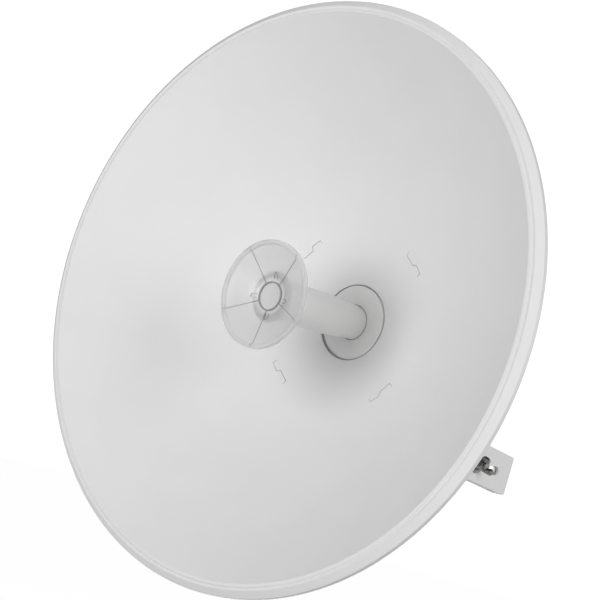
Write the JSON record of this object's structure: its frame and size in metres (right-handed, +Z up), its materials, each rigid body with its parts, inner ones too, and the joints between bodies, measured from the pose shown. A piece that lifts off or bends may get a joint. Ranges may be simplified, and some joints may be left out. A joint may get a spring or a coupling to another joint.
{
  "type": "parabolic dish antenna on a tilting pole bracket",
  "caption": "white parabolic dish with a short feed tube and a clear sub-reflector cup in front, on forked arms that tilt on a U-bolt pole bracket",
  "frame": {"origin": "on the flat pad at the back of the pole bracket, midway between its two U-bolts and on the bracket's centre line", "axes": "-Y is the boresight, the way the dish looks at rest; +Y points back at the pole; +Z is up; +X is the side of the wing nut"},
  "size_m": [0.65, 0.5001, 0.65],
  "materials": {
    "white_paint": "satin white powder coat",
    "white_plastic": "fine moulded white plastic",
    "clear_plastic": "clear moulded plastic",
    "grey_plastic": "moulded grey plastic",
    "black_rubber": "matt rubber",
    "galvanised_steel": "dull hot-dip zinc",
    "dark_zinc": "dark zinc plate",
    "nickel": "satin nickel plate"
  },
  "bodies": {
    "bracket": {"pole_bracket": "galvanised_steel", "u_bolt_upper": "galvanised_steel", "u_bolt_lower": "galvanised_steel", "u_bolt_nut_upper_right": "galvanised_steel", "u_bolt_nut_upper_left": "galvanised_steel", "u_bolt_nut_lower_right": "galvanised_steel", "u_bolt_nut_lower_left": "galvanised_steel", "pivot_bolt": "galvanised_steel", "pivot_nut": "galvanised_steel", "pivot_washer_right": "galvanised_steel", "pivot_washer_left": "galvanised_steel", "slot_bolt": "dark_zinc", "slot_washer_right": "dark_zinc", "slot_washer_left": "dark_zinc", "wing_nut": "dark_zinc"},
    "dish": {"reflector": "white_paint", "feed_flange": "white_plastic", "feed_tube": "white_plastic", "sub_reflector": "clear_plastic", "feed_nose": "clear_plastic", "feed_housing": "grey_plastic", "housing_lid": "grey_plastic", "cable_port_right": "nickel", "cable_port_left": "nickel", "port_cap_right": "black_rubber", "port_cap_left": "black_rubber", "back_plate": "white_paint", "standoff_top_right": "galvanised_steel", "standoff_top_left": "galvanised_steel", "standoff_bottom_left": "galvanised_steel", "standoff_bottom_right": "galvanised_steel", "arm_right": "white_paint", "arm_left": "white_paint"}
  },
  "joints": [
    {"name": "elevation", "type": "hinge", "parent": "bracket", "child": "dish", "pos_m": [0, -0.016, 0.066], "axis": [-1, 0, 0], "range_deg": [-12, 13.5]}
  ]
}
